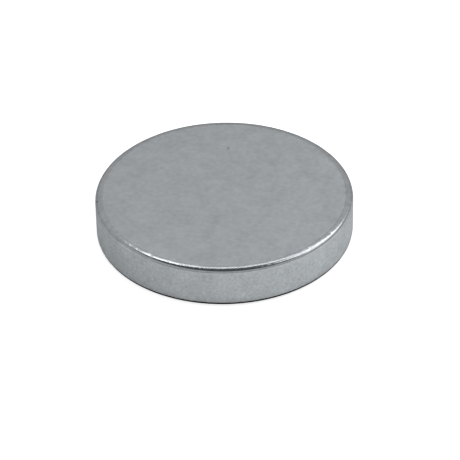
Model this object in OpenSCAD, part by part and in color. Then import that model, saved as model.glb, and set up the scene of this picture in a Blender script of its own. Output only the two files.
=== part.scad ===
// Disc magnet: a sintered disc, tumbled and then plated, magnetised through its thickness.
// It lies on its lower pole face, with the origin at that face's centre and Z along its axis.
// Units are millimetres.

/* [Disc] */
// Diameter over the plating
disc_diameter = 30; // [12:0.5:60]
// Thickness over the plating
disc_thickness = 5; // [2.5:0.25:20]

/* [Tumbled rims] */
// Radius that tumbling leaves on both rims
rim_radius = 0.5; // [0.2:0.05:1]
// Width of the band on each pole face that rolls off towards its rim
roll_width = 0.5; // [0.2:0.05:1]
// Radius of that band's shallow curve
roll_radius = 2.5; // [1.5:0.25:10]

/* [Hidden] */
$fn = 180;

disc_radius = disc_diameter / 2;

// The rim's arc runs tangent into the wall, and into the roll-off band's arc,
// which runs tangent into the flat of the pole face.
roll_slope = asin(roll_width / roll_radius);
roll_drop = roll_radius * (1 - cos(roll_slope));

// Places on the section, measured in from its sharp corner
roll_end = rim_radius * (1 - sin(roll_slope));
flat_end = roll_end + roll_width;
wall_end = roll_drop + rim_radius * cos(roll_slope);

// How far a cut runs past the surface that it leaves
overcut = 0.5;

// What tumbling wears off the upper corner of the ground disc's section,
// drawn with that sharp corner at the origin
module worn_corner() {
    difference() {
        translate([-flat_end, -wall_end])
            square([flat_end + overcut, wall_end + overcut]);
        // Kept under the roll-off band, as far as the rim's arc
        intersection() {
            translate([-flat_end, -roll_radius])
                circle(roll_radius);
            translate([-flat_end - overcut, -wall_end - overcut])
                square([roll_width + overcut, wall_end + 2 * overcut]);
        }
        // Kept inside the rim's arc
        translate([-rim_radius, -wall_end])
            circle(rim_radius);
    }
}

// Section from the axis to the wall, with both rims worn alike
module worn_section() {
    difference() {
        square([disc_radius, disc_thickness]);
        translate([disc_radius, disc_thickness])
            worn_corner();
        translate([disc_radius, 0])
            mirror([0, 1])
                worn_corner();
    }
}

// The magnet is one solid, turned from that section
module disc_magnet() {
    color([0.62, 0.64, 0.65])
        rotate_extrude()
            worn_section();
}

disc_magnet();
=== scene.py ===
import math

import bmesh
import bpy
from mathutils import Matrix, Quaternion, Vector, noise


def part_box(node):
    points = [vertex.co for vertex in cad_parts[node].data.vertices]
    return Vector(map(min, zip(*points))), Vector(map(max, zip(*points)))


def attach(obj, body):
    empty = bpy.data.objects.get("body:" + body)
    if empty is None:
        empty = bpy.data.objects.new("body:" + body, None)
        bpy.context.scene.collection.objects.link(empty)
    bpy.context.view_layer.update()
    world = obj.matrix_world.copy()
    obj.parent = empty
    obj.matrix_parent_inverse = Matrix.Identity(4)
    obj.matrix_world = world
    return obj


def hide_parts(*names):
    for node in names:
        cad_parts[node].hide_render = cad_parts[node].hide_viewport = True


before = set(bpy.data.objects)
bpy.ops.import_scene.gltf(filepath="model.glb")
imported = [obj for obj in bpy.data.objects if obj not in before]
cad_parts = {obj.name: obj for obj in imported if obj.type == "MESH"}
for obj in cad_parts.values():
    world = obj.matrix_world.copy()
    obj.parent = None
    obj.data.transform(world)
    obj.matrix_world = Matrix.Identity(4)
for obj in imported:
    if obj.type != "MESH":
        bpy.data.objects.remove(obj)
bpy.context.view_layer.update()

mm = 0.001
discLow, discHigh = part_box("disc_magnet")
discRadius = (discHigh.x - discLow.x) / 2
discMiddle = (discLow + discHigh) / 2
print("frame loaded, disc radius in mm:", round(discRadius / mm, 3))


cameraSetup = {
    "distance": 20,  # from the disc's middle, in disc radii
    "elevation": 35.88,  # degrees above the bench
    "roll": 1.08,  # degrees, lifts the picture's right side
    "lens": 201.2,  # mm
    "aimRight": 0.0397,  # the aim's offset from the disc's middle, in disc radii
    "aimUp": -0.1549,
    "nearEnd": 0.01,  # metres from the camera, where it begins to see
}


def makeCamera(setup):
    tilt = math.radians(setup["elevation"])
    back = Vector((0, -math.cos(tilt), math.sin(tilt)))
    up = Vector((0, math.sin(tilt), math.cos(tilt)))
    place = discMiddle + back * setup["distance"] * discRadius
    aim = discMiddle + (Vector((1, 0, 0)) * setup["aimRight"] + up * setup["aimUp"]) * discRadius
    camera = bpy.data.objects.new("camera", bpy.data.cameras.new("camera"))
    camera.data.lens = setup["lens"]
    camera.data.clip_start = setup["nearEnd"]
    camera.location = place
    camera.rotation_mode = "QUATERNION"
    roll = Quaternion((0, 0, 1), -math.radians(setup["roll"]))
    camera.rotation_quaternion = (place - aim).to_track_quat("Z", "Y") @ roll
    bpy.context.scene.collection.objects.link(camera)
    bpy.context.scene.camera = camera


makeCamera(cameraSetup)
print("camera placed")


discShape = {
    "rimRadius": 0.5 * mm,  # arc of both rims
    "rollWidth": 0.5 * mm,  # band of each pole face that rolls off towards its rim
    "rollRadius": 2.5 * mm,
    "polishRamp": (-0.22 * mm, 0.12 * mm),  # where satin turns to polish, from the roll's start
    "wallTilt": 83,  # degrees round the rim's arc from which it takes on the wall's finish
    "segments": 720,  # round the wall and the rims
    "faceRings": 18,  # of a pole face, as far as it is satin
    "polishRings": 6,  # where the satin turns to polish, still on the flat
    "rollRings": 8,
    "rimRings": 16,
    "wallRings": 8,  # from each rim to half height
    "wearReach": 0.5 * mm,  # how far from the rim's arc the wear fades out
    "wearDepth": 0.015 * mm,  # how deep the tumbled rims are dented, where they are
    "wearLength": 1.5 * mm,
    "chipDepth": 0.014 * mm,  # finer dents, which run straight across the rims
    "chipLength": 0.65 * mm,
    "wearSeed": 5,  # another number puts the dents elsewhere
    "markReach": 3,  # where a mark's bowl has run out, in sizes of the mark
    "markCuts": 3,  # how often each edge near a mark is cut, for finer faces
}

# Marks on the upper side: degrees round from the front, how far out (1 is the wall), how dark a stain
discMarks = [
    {"azimuth": -86.1, "out": 0.990, "size": 0.17 * mm, "depth": 0.09 * mm, "stain": 1.0},
    {"azimuth": 176.0, "out": 0.620, "size": 0.14 * mm, "depth": 0.012 * mm, "stain": 0.6},
    {"azimuth": 157.0, "out": 0.710, "size": 0.13 * mm, "depth": 0.005 * mm, "stain": 0.2},
    {"azimuth": 234.0, "out": 0.605, "size": 0.14 * mm, "depth": 0.006 * mm, "stain": 0.3},
    {"azimuth": 120.0, "out": 0.745, "size": 0.13 * mm, "depth": 0.005 * mm, "stain": 0.2},
]


def smoothStep(share):
    share = min(1, max(0, share))
    return share * share * (3 - 2 * share)


def sectionRings(shape):
    # Rings from a pole face's middle to half height: radius, drop, rim mask, wall mask, segments
    def polishAt(out):
        start, end = shape["polishRamp"]
        return smoothStep((out - start) / (end - start))

    slope = math.asin(shape["rollWidth"] / shape["rollRadius"])
    rimCentre = discRadius - shape["rimRadius"]
    flatRadius = rimCentre + shape["rimRadius"] * math.sin(slope) - shape["rollWidth"]
    rollDrop = shape["rollRadius"] * (1 - math.cos(slope))
    wallStart = rollDrop + shape["rimRadius"] * math.cos(slope)
    wallDepth = (discHigh.z - discLow.z) / 2 - wallStart
    rings = []
    satinWidth = -shape["polishRamp"][0]
    satinRadius = flatRadius - satinWidth
    for i in range(1, shape["faceRings"] + 1):
        share = i / shape["faceRings"]
        split = 8 if share < 0.15 else 4 if share < 0.4 else 2 if share < 0.8 else 1  # small rings need few
        rings.append((satinRadius * share, 0, 0, 0, shape["segments"] // split))
    for i in range(1, shape["polishRings"] + 1):
        out = satinWidth * (i / shape["polishRings"] - 1)
        rings.append((flatRadius + out, 0, polishAt(out), 0, shape["segments"]))
    for i in range(1, shape["rollRings"] + 1):
        share = i / shape["rollRings"]
        out = shape["rollRadius"] * math.sin(slope * share)
        drop = shape["rollRadius"] * (1 - math.cos(slope * share))
        rings.append((flatRadius + out, drop, polishAt(out), 0, shape["segments"]))
    for i in range(1, shape["rimRings"] + 1):
        tilt = slope + (math.pi / 2 - slope) * i / shape["rimRings"]
        out = shape["rimRadius"] * math.sin(tilt)
        drop = wallStart - shape["rimRadius"] * math.cos(tilt)
        wall = max(0, (math.degrees(tilt) - shape["wallTilt"]) / (90 - shape["wallTilt"]))
        rings.append((rimCentre + out, drop, 1 - wall, wall, shape["segments"]))
    for i in range(1, shape["wallRings"] + 1):
        depth = wallDepth * (i / shape["wallRings"]) ** 2
        rings.append((discRadius, wallStart + depth, 0, 1, shape["segments"]))
    return rings


def joinRings(mesh, first, second):
    # Where one ring has more points, a face takes in those between its corners
    count = min(len(first), len(second))
    edges = []
    for ring in (first, second):
        step = len(ring) // count
        edges.append([[ring[(i * step + k) % len(ring)] for k in range(step + 1)] for i in range(count)])
    for near, far in zip(*edges):
        mesh.faces.new(near + far[::-1])


def turnDisc(shape):
    mesh = bmesh.new()
    rimMask = mesh.verts.layers.float.new("rim")
    wallMask = mesh.verts.layers.float.new("wall")
    half = sectionRings(shape)  # the lower half repeats it, without the ring at half height
    section = [(r, discHigh.z - drop, rim, wall, count) for r, drop, rim, wall, count in half]
    section += [(r, discLow.z + drop, rim, wall, count) for r, drop, rim, wall, count in half[-2::-1]]
    rings = []
    for radius, height, rim, wall, count in section:
        turns = [2 * math.pi * i / count for i in range(count)]
        ring = [mesh.verts.new((radius * math.sin(t), -radius * math.cos(t), height)) for t in turns]
        for vert in ring:
            vert[rimMask] = rim
            vert[wallMask] = wall
        rings.append(ring)
    for first, second in zip(rings, rings[1:]):
        joinRings(mesh, first, second)
    for ring, height in ((rings[0], discHigh.z), (rings[-1], discLow.z)):
        middle = mesh.verts.new((0, 0, height))
        for i, vert in enumerate(ring):
            mesh.faces.new((middle, vert, ring[i - 1]))
    bmesh.ops.recalc_face_normals(mesh, faces=mesh.faces)
    return mesh


def wearRims(mesh, shape):
    # Tumbling leaves the rims a little uneven, and always takes metal away
    mesh.normal_update()
    arcRadius = discRadius - shape["rimRadius"]
    arcHeight = (discHigh.z - discLow.z) / 2 - shape["rimRadius"]
    # Each seed takes another part of the noise
    dentShift = Vector((0, 0, 7.3 * shape["wearSeed"]))
    chipShift = Vector((0, 0, 5.1 * shape["wearSeed"]))
    moves = []
    for vert in mesh.verts:
        inward = arcRadius - math.hypot(vert.co.x, vert.co.y)
        along = arcHeight - abs(vert.co.z - discMiddle.z)
        fade = 1 - max(inward, along, 0) / shape["wearReach"]
        if fade > 0:
            across = Vector((vert.co.x, vert.co.y, 0)).normalized() * discRadius
            across.z = math.copysign(arcHeight, vert.co.z - discMiddle.z)
            dent = max(0, noise.noise(vert.co / shape["wearLength"] + dentShift))
            chip = max(0, noise.noise(across / shape["chipLength"] + chipShift))
            depth = shape["wearDepth"] * dent + shape["chipDepth"] * chip
            moves.append((vert, vert.normal * depth * smoothStep(fade)))
    for vert, move in moves:
        vert.co -= move


def pressMarks(mesh, shape, marks):
    markMask = mesh.verts.layers.float.new("mark")
    for mark in marks:
        turn = math.radians(mark["azimuth"])
        radius = mark["out"] * discRadius
        over = max(0, radius - discRadius + shape["rimRadius"])
        drop = shape["rimRadius"] - math.sqrt(shape["rimRadius"] ** 2 - over ** 2)
        place = Vector((radius * math.sin(turn), -radius * math.cos(turn), discHigh.z - drop))
        reach = shape["markReach"] * mark["size"]
        near = [f for f in mesh.faces if (f.calc_center_median() - place).length < reach]
        edges = list({e for f in near for e in f.edges})
        bmesh.ops.subdivide_edges(mesh, edges=edges, cuts=shape["markCuts"], use_grid_fill=True)
        mesh.normal_update()
        for vert in mesh.verts:
            away = (vert.co - place).length / mark["size"]
            if away < shape["markReach"]:
                bowl = math.exp(-away * away)
                vert.co -= vert.normal * mark["depth"] * bowl
                vert[markMask] = max(vert[markMask], mark["stain"] * bowl)


def makeDisc(shape, marks):
    mesh = turnDisc(shape)
    wearRims(mesh, shape)
    pressMarks(mesh, shape, marks)
    data = bpy.data.meshes.new("magnetDisc")
    mesh.to_mesh(data)
    mesh.free()
    data.shade_smooth()
    disc = bpy.data.objects.new("magnetDisc", data)
    bpy.context.scene.collection.objects.link(disc)
    return disc


magnetDisc = makeDisc(discShape, discMarks)
print("disc turned, faces:", len(magnetDisc.data.polygons))


def addNode(tree, kind, values=None, **settings):
    node = tree.nodes.new(kind)
    for name, value in settings.items():
        setattr(node, name, value)
    for name, value in (values or {}).items():
        node.inputs[name].default_value = value
    return node


def grainGroup():
    # Clouds or grain of a given size in mm, as a value round 0.5
    # More detail adds finer and finer grain, as strong as its roughness says
    group = bpy.data.node_groups.new("metalGrain", "ShaderNodeTree")
    group.interface.new_socket("Vector", in_out="INPUT", socket_type="NodeSocketVector")
    for name, value in (("Size", 1), ("Detail", 2), ("Roughness", 0.55)):
        socket = group.interface.new_socket(name, in_out="INPUT", socket_type="NodeSocketFloat")
        socket.default_value = value
    group.interface.new_socket("Value", in_out="OUTPUT", socket_type="NodeSocketFloat")
    start = group.nodes.new("NodeGroupInput")
    end = group.nodes.new("NodeGroupOutput")
    perMetre = addNode(group, "ShaderNodeMath", {0: 1 / mm}, operation="DIVIDE")
    pattern = addNode(group, "ShaderNodeTexNoise")
    group.links.new(start.outputs["Size"], perMetre.inputs[1])
    group.links.new(start.outputs["Vector"], pattern.inputs["Vector"])
    group.links.new(perMetre.outputs[0], pattern.inputs["Scale"])
    group.links.new(start.outputs["Detail"], pattern.inputs["Detail"])
    group.links.new(start.outputs["Roughness"], pattern.inputs["Roughness"])
    group.links.new(pattern.outputs["Fac"], end.inputs["Value"])
    return group


metalGrain = grainGroup()

platingFinish = {
    "faceColour": (0.407, 0.429, 0.444, 1),
    "wallColour": (0.452, 0.477, 0.494, 1),
    "rimColour": (0.362, 0.381, 0.395, 1),
    "markColour": (0.12, 0.12, 0.12, 1),
    "faceRoughness": 0.5,
    "wallRoughness": 0.611,
    "rimRoughness": 0.18,
    "edgeTint": 0.43,  # holds back the metal's gloss where it is seen edge on
    "cloudSize": 2.2,  # sizes of the patterns, in mm
    "mottleSize": 0.6,
    "speckleSize": 0.30,
    "cloudTone": 0.26,  # how far each pattern moves the colour, as a share
    "mottleTone": 0.44,
    "speckleTone": 0.66,
    "mottleRoughness": 0.15,  # how far the mottle moves the roughness
    "faceGrainHeight": 0.0012 * mm,  # relief of the speckle
    "wallGrainHeight": 0.012 * mm,
}


def platingMaterial(finish):
    material = bpy.data.materials.new("satinPlating")
    material.use_nodes = True
    tree = material.node_tree
    tree.nodes.clear()
    link = tree.links.new
    place = addNode(tree, "ShaderNodeTexCoord")
    rim = addNode(tree, "ShaderNodeAttribute", attribute_name="rim")
    wall = addNode(tree, "ShaderNodeAttribute", attribute_name="wall")
    mark = addNode(tree, "ShaderNodeAttribute", attribute_name="mark")

    def grain(size, detail):
        node = addNode(tree, "ShaderNodeGroup", node_tree=metalGrain)
        node.inputs["Size"].default_value = size
        node.inputs["Detail"].default_value = detail
        link(place.outputs["Object"], node.inputs["Vector"])
        return node.outputs["Value"]

    def blend(mask, first, second, kind="FLOAT"):
        node = addNode(tree, "ShaderNodeMix", data_type=kind)
        slots = {"FLOAT": (2, 3, 0), "RGBA": (6, 7, 2)}[kind]  # first, second and result
        link(mask, node.inputs[0])
        for slot, value in zip(slots, (first, second)):
            if isinstance(value, bpy.types.NodeSocket):
                link(value, node.inputs[slot])
            else:
                node.inputs[slot].default_value = value
        return node.outputs[slots[2]]

    def combine(operation, first, second, third=None):
        node = addNode(tree, "ShaderNodeMath", operation=operation)
        for slot, value in enumerate((first, second, third)):
            if isinstance(value, bpy.types.NodeSocket):
                link(value, node.inputs[slot])
            elif value is not None:
                node.inputs[slot].default_value = value
        return node.outputs[0]

    def sway(pattern, share, middle):
        # Moves a value up and down round its middle with the pattern
        return combine("MULTIPLY_ADD", combine("SUBTRACT", pattern, 0.5), share, middle)

    cloud = grain(finish["cloudSize"], 3)
    mottle = grain(finish["mottleSize"], 3)
    speckle = grain(finish["speckleSize"], 2)

    faceOrWall = blend(wall.outputs["Fac"], finish["faceColour"], finish["wallColour"], "RGBA")
    plain = blend(rim.outputs["Fac"], faceOrWall, finish["rimColour"], "RGBA")
    marked = blend(mark.outputs["Fac"], plain, finish["markColour"], "RGBA")
    faceTone = sway(mottle, finish["mottleTone"], 1)
    wallTone = sway(speckle, finish["speckleTone"], 1)
    fineTone = blend(wall.outputs["Fac"], faceTone, wallTone)
    tone = sway(cloud, finish["cloudTone"], fineTone)
    toned = addNode(tree, "ShaderNodeVectorMath", operation="SCALE")
    link(marked, toned.inputs[0])
    link(tone, toned.inputs["Scale"])

    satin = blend(wall.outputs["Fac"], finish["faceRoughness"], finish["wallRoughness"])
    varied = sway(mottle, finish["mottleRoughness"], satin)
    roughness = blend(rim.outputs["Fac"], varied, finish["rimRoughness"])

    grainDepth = blend(wall.outputs["Fac"], finish["faceGrainHeight"], finish["wallGrainHeight"])
    shown = combine("MULTIPLY", grainDepth, combine("SUBTRACT", 1, rim.outputs["Fac"]))
    height = combine("MULTIPLY", speckle, shown)
    bump = addNode(tree, "ShaderNodeBump", {"Distance": 1.0})  # the heights are in metres
    link(height, bump.inputs["Height"])

    shader = addNode(tree, "ShaderNodeBsdfPrincipled", {"Metallic": 1.0})
    shader.inputs["Specular Tint"].default_value = (finish["edgeTint"],) * 3 + (1,)
    link(toned.outputs[0], shader.inputs["Base Color"])
    link(roughness, shader.inputs["Roughness"])
    link(bump.outputs["Normal"], shader.inputs["Normal"])
    output = addNode(tree, "ShaderNodeOutputMaterial")
    link(shader.outputs["BSDF"], output.inputs["Surface"])
    return material


magnetDisc.data.materials.append(platingMaterial(platingFinish))
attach(magnetDisc, "root")
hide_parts("disc_magnet")
print("plating made")


benchSetup = {
    "halfWidth": 1.5,  # metres
    "drop": 0.005 * mm,  # just below the disc, so that the two don't share a plane
    "colour": (0.86, 0.86, 0.86),
    "seenLift": 0.7,  # light added where the bench is seen, so that it reads as white
    "mirroredLift": 0.45,  # the same where the metal mirrors it
    "rightGain": 0.35,  # painted light: how much more of the mirrored lift the right side has, and the left side lacks
    "seenRamp": (-0.48 * mm, -0.35 * mm),  # distances from the wall between which the seen light grows
    "mirroredRamp": (0.39 * mm, 0.44 * mm),  # painted shade: mirrored, the bench is black up to here from the wall, a painted contact shadow, and then plain
}


def benchMaterial(setup):
    # Seen, it gains light outwards from the disc. Mirrored, it is black by the disc, a painted contact
    # shadow, and has painted light that grows to the right
    material = bpy.data.materials.new("whiteCard")
    material.use_nodes = True
    tree = material.node_tree
    tree.nodes.clear()
    card = addNode(tree, "ShaderNodeBsdfDiffuse")
    lift = addNode(tree, "ShaderNodeEmission")
    path = addNode(tree, "ShaderNodeLightPath")
    mirrored = addNode(tree, "ShaderNodeMath", operation="MAXIMUM")
    # painted shade: for mirror rays the card's colour goes to black near the disc
    shade = addNode(tree, "ShaderNodeMix", {2: 1.0}, data_type="FLOAT")
    shaded = addNode(tree, "ShaderNodeVectorMath", {0: setup["colour"]}, operation="SCALE")
    seenLift = addNode(tree, "ShaderNodeMath", operation="MULTIPLY")
    # painted light: the mirrored lift grows towards the right and falls towards the left
    outward = addNode(tree, "ShaderNodeVectorMath", operation="NORMALIZE")
    split = addNode(tree, "ShaderNodeSeparateXYZ")
    paintedSideLift = addNode(tree, "ShaderNodeMath", operation="MULTIPLY_ADD")
    paintedSideLift.inputs[1].default_value = setup["mirroredLift"] * setup["rightGain"]
    paintedSideLift.inputs[2].default_value = setup["mirroredLift"]
    mirroredLift = addNode(tree, "ShaderNodeMath", operation="MULTIPLY")
    amount = addNode(tree, "ShaderNodeMath", operation="MULTIPLY_ADD")
    place = addNode(tree, "ShaderNodeTexCoord")
    away = addNode(tree, "ShaderNodeVectorMath", operation="LENGTH")
    ramps = {}
    for name in ("seen", "mirrored"):
        start, end = setup[name + "Ramp"]
        ramps[name] = addNode(tree, "ShaderNodeMapRange", interpolation_type="SMOOTHSTEP")
        ramps[name].inputs["From Min"].default_value = discRadius + start
        ramps[name].inputs["From Max"].default_value = discRadius + end
    ramps["seen"].inputs["To Max"].default_value = setup["seenLift"]
    both = addNode(tree, "ShaderNodeAddShader")
    output = addNode(tree, "ShaderNodeOutputMaterial")
    link = tree.links.new
    link(place.outputs["Object"], away.inputs[0])
    link(away.outputs["Value"], ramps["seen"].inputs["Value"])
    link(away.outputs["Value"], ramps["mirrored"].inputs["Value"])
    link(path.outputs["Is Camera Ray"], seenLift.inputs[0])
    link(ramps["seen"].outputs[0], seenLift.inputs[1])
    link(path.outputs["Is Glossy Ray"], mirrored.inputs[0])
    link(path.outputs["Is Transmission Ray"], mirrored.inputs[1])
    link(mirrored.outputs[0], shade.inputs[0])
    link(ramps["mirrored"].outputs[0], shade.inputs[3])
    link(shade.outputs[0], shaded.inputs["Scale"])
    link(shaded.outputs[0], card.inputs["Color"])
    link(place.outputs["Object"], outward.inputs[0])
    link(outward.outputs["Vector"], split.inputs[0])
    link(split.outputs["X"], paintedSideLift.inputs[0])
    link(paintedSideLift.outputs[0], mirroredLift.inputs[0])
    # painted shade: the mirrored lift also fades to nothing by the disc
    link(ramps["mirrored"].outputs[0], mirroredLift.inputs[1])
    link(mirrored.outputs[0], amount.inputs[0])
    link(mirroredLift.outputs[0], amount.inputs[1])
    link(seenLift.outputs[0], amount.inputs[2])
    link(amount.outputs[0], lift.inputs["Strength"])
    link(card.outputs[0], both.inputs[0])
    link(lift.outputs[0], both.inputs[1])
    link(both.outputs[0], output.inputs["Surface"])
    return material


def makeBench(setup):
    mesh = bmesh.new()
    bmesh.ops.create_grid(mesh, x_segments=1, y_segments=1, size=setup["halfWidth"])
    data = bpy.data.meshes.new("bench")
    mesh.to_mesh(data)
    mesh.free()
    bench = bpy.data.objects.new("bench", data)
    bench.location.z = discLow.z - setup["drop"]
    bpy.context.scene.collection.objects.link(bench)
    data.materials.append(benchMaterial(setup))


makeBench(benchSetup)
print("bench laid")


roomLight = {
    "level": 0.774,
    "horizon": 0.72,  # share of the level low down
    "full": 0.49,  # height of the direction from which the level is plain
    "rightGain": 0.068,  # how much brighter the room's right side is
    "darkShare": 0.184,  # share of the level in the middle of the dark ceiling
    "darkFrom": 0.71,  # how far round from its middle the dark reaches, as a cosine
    "darkTo": 0.85,
    "darkTurn": 82,  # degrees round from the camera's side, to the right, of its middle
    "darkHeight": 85,  # degrees above the bench
}


def directionTo(azimuth, elevation):
    # Azimuth is in degrees round from the camera's side, to the right, and elevation above the bench
    turn = math.radians(azimuth)
    tilt = math.radians(elevation)
    return Vector((math.sin(turn) * math.cos(tilt), -math.cos(turn) * math.cos(tilt), math.sin(tilt)))


def makeRoom(setup):
    world = bpy.data.worlds.new("room")
    bpy.context.scene.world = world
    world.use_nodes = True
    tree = world.node_tree
    tree.nodes.clear()
    link = tree.links.new
    place = addNode(tree, "ShaderNodeTexCoord")
    split = addNode(tree, "ShaderNodeSeparateXYZ")
    rise = addNode(tree, "ShaderNodeMapRange", interpolation_type="SMOOTHSTEP")
    rise.inputs["From Max"].default_value = setup["full"]
    rise.inputs["To Min"].default_value = setup["horizon"]
    darkMiddle = directionTo(setup["darkTurn"], setup["darkHeight"])
    toward = addNode(tree, "ShaderNodeVectorMath", {1: darkMiddle}, operation="DOT_PRODUCT")
    dark = addNode(tree, "ShaderNodeMapRange", {"To Min": 1}, interpolation_type="SMOOTHSTEP")
    dark.inputs["From Min"].default_value = setup["darkFrom"]
    dark.inputs["From Max"].default_value = setup["darkTo"]
    dark.inputs["To Max"].default_value = setup["darkShare"]
    share = addNode(tree, "ShaderNodeMath", operation="MULTIPLY")
    side = addNode(tree, "ShaderNodeMath", {1: setup["rightGain"], 2: 1.0}, operation="MULTIPLY_ADD")
    sided = addNode(tree, "ShaderNodeMath", operation="MULTIPLY")
    level = addNode(tree, "ShaderNodeMath", {1: setup["level"]}, operation="MULTIPLY")
    background = addNode(tree, "ShaderNodeBackground", {"Color": (1, 1, 1, 1)})
    output = addNode(tree, "ShaderNodeOutputWorld")
    link(place.outputs["Generated"], split.inputs[0])
    link(split.outputs["Z"], rise.inputs["Value"])
    link(place.outputs["Generated"], toward.inputs[0])
    link(toward.outputs["Value"], dark.inputs["Value"])
    link(rise.outputs[0], share.inputs[0])
    link(dark.outputs[0], share.inputs[1])
    link(split.outputs["X"], side.inputs[0])
    link(share.outputs[0], sided.inputs[0])
    link(side.outputs[0], sided.inputs[1])
    link(sided.outputs[0], level.inputs[0])
    link(level.outputs[0], background.inputs["Strength"])
    link(background.outputs[0], output.inputs["Surface"])


makeRoom(roomLight)
print("room lit")

# Soft boxes: degrees round from the camera's side to the right, degrees up, metres, the cloth's brightness
softBoxes = {
    "leftBox": {
        "azimuth": 200.3, "elevation": 55.3, "distance": 0.5,
        "width": 0.079, "depth": 0.056, "roll": 0, "brightness": 3.58,
    },
    "topBox": {
        "azimuth": 166.4, "elevation": 53.9, "distance": 0.5,
        "width": 0.347, "depth": 0.052, "roll": 6, "brightness": 2.46,
    },
    "rightBox": {
        "azimuth": 116.2, "elevation": 52.6, "distance": 0.3,
        "width": 0.195, "depth": 0.183, "roll": -29, "brightness": 2.15,
    },
    "leftCard": {
        "azimuth": 278.9, "elevation": 6.1, "distance": 0.5,
        "width": 0.3, "depth": 0.15, "roll": 0, "brightness": 0.48,
    },
}


def makeSoftBox(name, setup):
    lamp = bpy.data.lights.new(name, "AREA")
    lamp.shape = "RECTANGLE"
    lamp.size = setup["width"]
    lamp.size_y = setup["depth"]
    lamp.energy = setup["brightness"] * math.pi * setup["width"] * setup["depth"]  # watts
    box = bpy.data.objects.new(name, lamp)
    away = directionTo(setup["azimuth"], setup["elevation"])
    box.location = discMiddle + away * setup["distance"]
    roll = Quaternion((0, 0, 1), math.radians(setup["roll"]))
    box.rotation_euler = (away.to_track_quat("Z", "Y") @ roll).to_euler()
    box.visible_camera = False
    bpy.context.scene.collection.objects.link(box)


for boxName, boxSetup in softBoxes.items():
    makeSoftBox(boxName, boxSetup)
print("soft boxes placed")

bpy.context.scene.view_settings.view_transform = "Standard"
